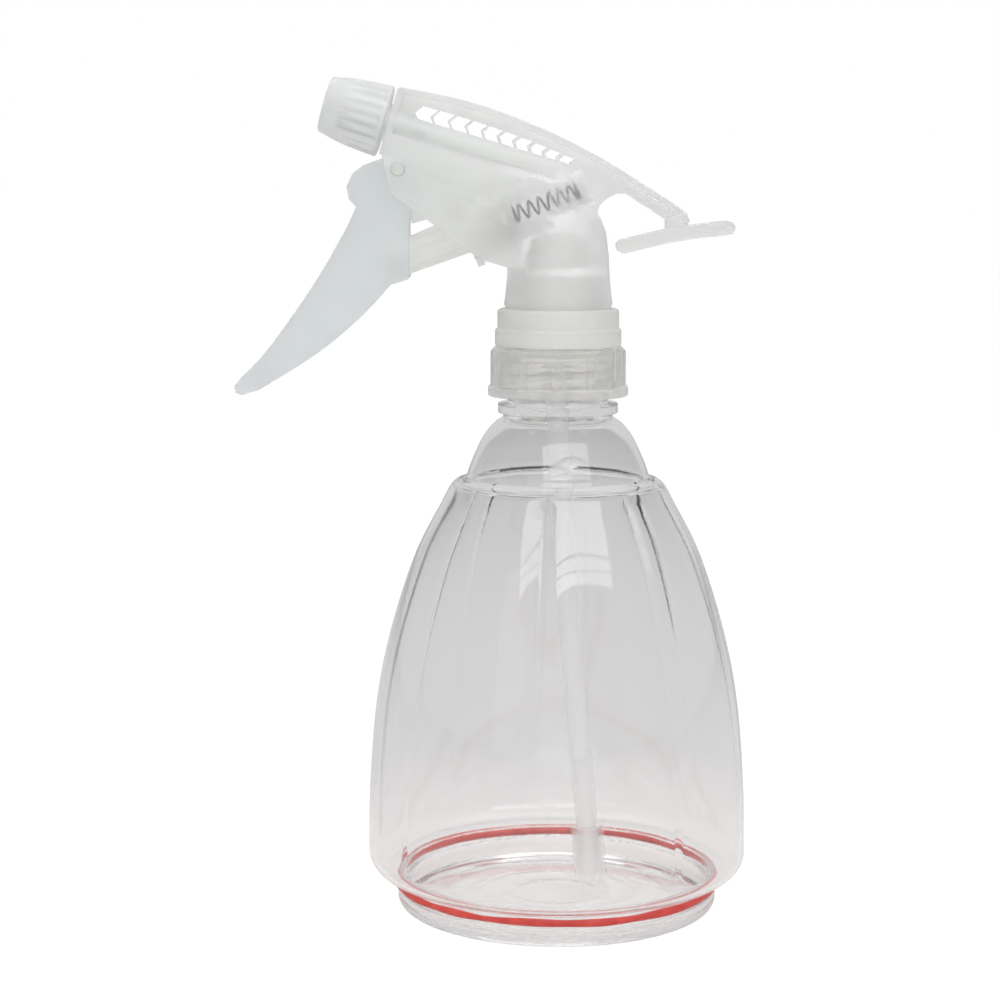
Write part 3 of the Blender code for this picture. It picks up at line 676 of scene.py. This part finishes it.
def make_collar():
    low, high = COLLAR_Z
    outer = rounded([(COLLAR_BORE_R, low), (COLLAR_RIM_R, low), (COLLAR_RIM_R, low + 2.3),
                     (COLLAR_R, low + 2.7)], 0.5, 4, closed=False)
    skirt = [(COLLAR_R, low + 2.75 + (high - 3.7 - low) * step / 6) for step in range(7)]
    top = rounded([(COLLAR_R - 0.1, high - 0.9), (COLLAR_R - 1.0, high), (HUB_R, high), (HUB_R, DECK_Z[1]),
                   (DECK_HOLE_R, DECK_Z[1]), (DECK_HOLE_R, DECK_Z[0]), (COLLAR_BORE_R, DECK_Z[0])], 0.35, 3,
                  closed=False)
    made = turned("ribbed_collar", outer + skirt + top, 288, collar_shape, closed=True)
    return wear(smooth(made, 40), COLLAR, "collar", "clear_collar", "screw_collar")


def make_retainer():
    """The two-step ring that sits on the collar and closes round the shroud."""
    outer, upper = RING_STEP_R
    low, step, top = RING_Z
    bore = SHROUD_R + GAP
    profile = [(HUB_R + GAP, low), (outer, low), (outer, step - 0.3), (upper, step), (upper, top - 0.3),
               (upper - 0.9, top + 0.1), (bore, top + 0.2), (bore, 143.4), (HUB_R + GAP, 143.4)]
    made = turned("stepped_ring", rounded(profile, 0.3, 3), 128, closed=True)
    return wear(smooth(made, 40), MILKY, "head", "milky_pp", "collar_retainer")


# ---------------------------------------------------------------- pump head

def make_head():
    made = softened_copy("head_frame", "head_shell", 0.35)
    return wear(smooth(made, 40), FROSTED, "head", "frosted_pp", "head_frame")


def make_trigger():
    made = softened_copy("trigger", "trigger_lever", 0.5)
    return wear(smooth(made, 40), BLUISH, "trigger", "trigger_pp", "trigger")


def nozzle_shape(angle, radius, height):
    """Flutes on the rear of the cap that end in points towards its smooth front."""
    if radius < 6.5 or height < FLUTE_START:
        return radius, height
    wave = (1 + math.cos(angle * NOZZLE_FLUTES)) / 2
    reach = min(max((FLUTE_END - height) / FLUTE_POINT, 0.0), 1.0)
    cut = max(0.0, wave - (1 - reach)) * min(1.0, (height - FLUTE_START) / 0.6)
    return radius - FLUTE_DEPTH * cut, height


def make_pivot_pin():
    """The pin fills its bore, and its domed ends stand flush with the cheeks."""
    end = PIN_HALF - 0.5
    dome = arc((0.0, end), 0.5, 0, 90, 4)
    half = [(PIN_R - 0.5 + x, z) for x, z in dome]
    profile = [(0, -PIN_HALF), *[(x, -z) for x, z in reversed(half)], *half, (0, PIN_HALF)]
    made = turned("pivot_trunnion", profile, 40)
    made.data.transform(Matrix.Translation(PIVOT) @ Matrix.Rotation(math.radians(90), 4, "X"))
    return wear(smooth(made, 50), MILKY, "head", "milky_pp", "pivot_pin")


def make_nozzle():
    outside = [(5.0, 0.0), (8.3, 0.0), (8.75, 0.25), (8.9, 0.8)]
    side = smooth_curve([(8.88, 1.0), (8.8, 3.0), (8.5, 6.5), (8.0, 10.0), (7.35, 13.0), (6.97, 14.8)], 7)
    front = rounded([(6.85, 15.2), (6.55, 15.5), (3.4, 15.5), (1.2, 14.2), (0.6, 13.2), (0.6, 11.5),
                     (5.0, 11.5)], 0.3, 3, closed=False)
    made = turned("fluted_nozzle", outside + side + front, 240, nozzle_shape, closed=True)
    along_axis(made, NOZZLE_ORIGIN, NOZZLE_AXIS)
    return wear(smooth(made, 40), NOZZLE, "nozzle", "nozzle_pp", "nozzle_cap")


def coil_rise(turns):
    """How far along its length the wire is after so many turns: level in the end turns, even between."""
    active = SPRING_TURNS - 2 * CLOSED_TURNS
    return min(max((turns - CLOSED_TURNS) / active, 0.0), 1.0)


def make_spring():
    """Compression spring with closed end turns."""
    low = PISTON_END + GAP + SPRING_WIRE_R
    high = POCKET_END - GAP - SPRING_WIRE_R
    closed = 2 * SPRING_WIRE_R
    path = []
    for step in range(SPRING_TURNS * TURN_STEPS + 1):
        turns = step / TURN_STEPS
        ends = min(turns, CLOSED_TURNS) + max(turns - SPRING_TURNS + CLOSED_TURNS, 0.0)
        along = low + closed * ends + (high - low - 2 * closed * CLOSED_TURNS) * coil_rise(turns)
        path.append((SPRING_R * math.cos(math.tau * turns), SPRING_R * math.sin(math.tau * turns), along))
    made = coil_wire("coil_spring", path)
    along_axis(made, PUMP_ORIGIN, PUMP_AXIS)
    wear(smooth(made, 60), STEEL, "head", "spring_steel", "return_spring")
    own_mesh(made)
    return made


def coil_wire(name, path, sides=10):
    """A round wire along a coil about the z axis, with flat ends."""
    points = []
    rings = []
    for place in path:
        centre = Vector(place)
        outward = Vector((centre.x, centre.y, 0)).normalized()
        rings.append(range(len(points), len(points) + sides))
        for side in range(sides):
            angle = math.tau * side / sides
            spoke = outward * math.cos(angle) + Vector((0, 0, math.sin(angle)))
            points.append(centre + SPRING_WIRE_R * spoke)
    return mesh_piece(name, points, bridge(rings) + [tuple(rings[0]), tuple(rings[-1])[::-1]])


# ---------------------------------------------------------------- dip tube

def tube_route(steps):
    """From the head straight down, then leaning towards the corner of the bottle's floor."""
    knots = [(0.0, TUBE_TOP_Z), (0.0, 122.0), (1.4, 98.0), (3.6, 66.0), (6.3, 36.0), (8.5, 10.5)]
    return [(x, 0.0, z) for x, z in smooth_curve(knots, steps)]


def make_tube():
    made = hollow_tube("dip_tube_wall", tube_route(8), TUBE_R, 40)
    return wear(smooth(made, 50), TUBE, "head", "frosted_pp", "dip_tube")


def make_strainer():
    bore = TUBE_R[0] + GAP
    profile = [(1.6, -5.0), (STRAINER_R, -5.0), (STRAINER_R, 9.0), (bore, 9.0), (bore, -0.4), (1.6, -0.4)]
    made = turned("tube_foot", rounded(profile, 0.5, 3), 64, closed=True)
    coarse = tube_route(2)
    foot, above = Vector(coarse[-1]), Vector(coarse[-3])
    along_axis(made, foot * MM, above - foot)
    return wear(smooth(made, 40), TUBE, "head", "frosted_pp", "intake_strainer")


# ---------------------------------------------------------------- studio

def make_floor():
    """A pale floor with a painted pool of light round the bottle, darker further out; the camera sees it as
    white as the wall behind.
    """
    mesh = bpy.data.meshes.new("studio_floor")
    half = FLOOR_HALF
    corners = [(-half, -half, 0), (half, -half, 0), (half, half, 0), (-half, half, 0)]
    mesh.from_pydata(corners, [], [(0, 1, 2, 3)])
    floor = bpy.data.objects.new("studio_floor", mesh)
    bpy.context.scene.collection.objects.link(floor)
    floor.location.z = -FLOOR_DROP
    paint, tree, shader = new_material("studio_white")
    place = add_node(tree, "ShaderNodeTexCoord")
    gap = add_node(tree, "ShaderNodeVectorMath", operation="LENGTH")
    tree.links.new(place.outputs["Object"], gap.inputs[0])
    # Painted light: the floor's colour is lighter near the bottle and darker away from it
    painted_pool = ramp(tree, gap.outputs["Value"], PAINTED_POOL_CENTRE, PAINTED_POOL_OUTSIDE, *PAINTED_POOL_FADE)
    tree.links.new(painted_pool, shader.inputs["Base Color"])
    shader.inputs["Roughness"].default_value = 0.9
    glow = add_node(tree, "ShaderNodeEmission")
    glow.inputs["Strength"].default_value = FLOOR_GLOW
    path = add_node(tree, "ShaderNodeLightPath")
    glow_share = add_node(tree, "ShaderNodeMath", operation="MULTIPLY")
    glow_share.inputs[1].default_value = FLOOR_GLOW_SHARE
    tree.links.new(path.outputs["Is Camera Ray"], glow_share.inputs[0])
    mix = add_node(tree, "ShaderNodeMixShader")
    tree.links.new(glow_share.outputs[0], mix.inputs["Fac"])
    tree.links.new(shader.outputs["BSDF"], mix.inputs[1])
    tree.links.new(glow.outputs["Emission"], mix.inputs[2])
    tree.links.new(mix.outputs["Shader"], tree.nodes["Material Output"].inputs["Surface"])
    mesh.materials.append(paint)


def area_light(name, place, target, size, power, mirrored=True):
    """A rectangular lamp; one that isn't mirrored leaves no patch on glossy surfaces."""
    lamp = bpy.data.lights.new(name, "AREA")
    lamp.shape = "RECTANGLE"
    lamp.size, lamp.size_y = size
    lamp.energy = power
    made = bpy.data.objects.new(name, lamp)
    bpy.context.scene.collection.objects.link(made)
    made.location = place
    aim = Vector(target) - Vector(place)
    made.rotation_euler = aim.to_track_quat("-Z", "Y").to_euler()
    made.visible_glossy = mirrored


def make_world():
    """Pale studio walls with slightly darker sides; the camera itself sees plain white."""
    world = bpy.data.worlds.new("studio")
    bpy.context.scene.world = world
    world.use_nodes = True
    tree = world.node_tree
    tree.nodes.clear()
    place = add_node(tree, "ShaderNodeTexCoord")
    split = add_node(tree, "ShaderNodeSeparateXYZ")
    tree.links.new(place.outputs["Generated"], split.inputs["Vector"])
    sideways = add_node(tree, "ShaderNodeMath", operation="ABSOLUTE")
    tree.links.new(split.outputs["X"], sideways.inputs[0])
    lit = add_node(tree, "ShaderNodeBackground")
    tree.links.new(ramp(tree, sideways.outputs[0], WALL_LIGHT, SIDE_LIGHT, *SIDE_START), lit.inputs["Color"])
    seen = add_node(tree, "ShaderNodeBackground", Color=(1.0, 1.0, 1.0, 1.0))
    path = add_node(tree, "ShaderNodeLightPath")
    mix = add_node(tree, "ShaderNodeMixShader")
    tree.links.new(path.outputs["Is Camera Ray"], mix.inputs["Fac"])
    tree.links.new(lit.outputs[0], mix.inputs[1])
    tree.links.new(seen.outputs[0], mix.inputs[2])
    out = add_node(tree, "ShaderNodeOutputWorld")
    tree.links.new(mix.outputs[0], out.inputs["Surface"])


def make_lamps():
    """A wide softbox in three strips high in front, a panel overhead and a soft fill from the front."""
    for place, height in SOFTBOX_STRIPS:
        area_light("softbox", SOFTBOX + place * SOFTBOX_UP, SOFTBOX_AIM, (SOFTBOX_WIDTH, height),
                   SOFTBOX_POWER * height)
    area_light("top_panel", (0.0, 0.3, 1.1), SOFTBOX_AIM, (1.2, 0.8), 4.0)
    area_light("fill_panel", (-0.3, -1.4, 0.5), FILL_AIM, (1.6, 1.2), 4.5, mirrored=False)


def make_camera():
    lens = bpy.data.cameras.new("studio_camera")
    lens.lens = CAMERA_LENS
    lens.clip_start = CAMERA_NEAR
    camera = bpy.data.objects.new("studio_camera", lens)
    bpy.context.scene.collection.objects.link(camera)
    camera.location = CAMERA_PLACE
    camera.rotation_euler = (math.radians(90.0) - CAMERA_DIP, 0.0, 0.0)
    bpy.context.scene.camera = camera


def make_studio():
    make_floor()
    make_world()
    make_lamps()
    make_camera()
    scene = bpy.context.scene
    scene.view_settings.view_transform = "Standard"
    scene.cycles.max_bounces = BOUNCES
    scene.cycles.glossy_bounces = BOUNCES
    scene.cycles.transmission_bounces = BOUNCES
    scene.cycles.transparent_max_bounces = BOUNCES


def make_all():
    """The studio, the detailed pieces, and finished materials for the nodes carried over."""
    make_studio()
    make_bottle()
    make_band()
    make_collar()
    make_retainer()
    make_head()
    make_trigger()
    make_pivot_pin()
    make_nozzle()
    make_spring()
    make_tube()
    make_strainer()
    for node in ("valve_core", "pump_cylinder"):
        repaint(node, INNER)
    for node in ("piston", "link_pin", "spray_spinner"):
        repaint(node, MILKY)
    for node in ("neck_gasket", "piston_seal", "nozzle_gasket"):
        repaint(node, SEAL)
    for node in ("inlet_ball", "outlet_ball"):
        repaint(node, BALL)


make_all()
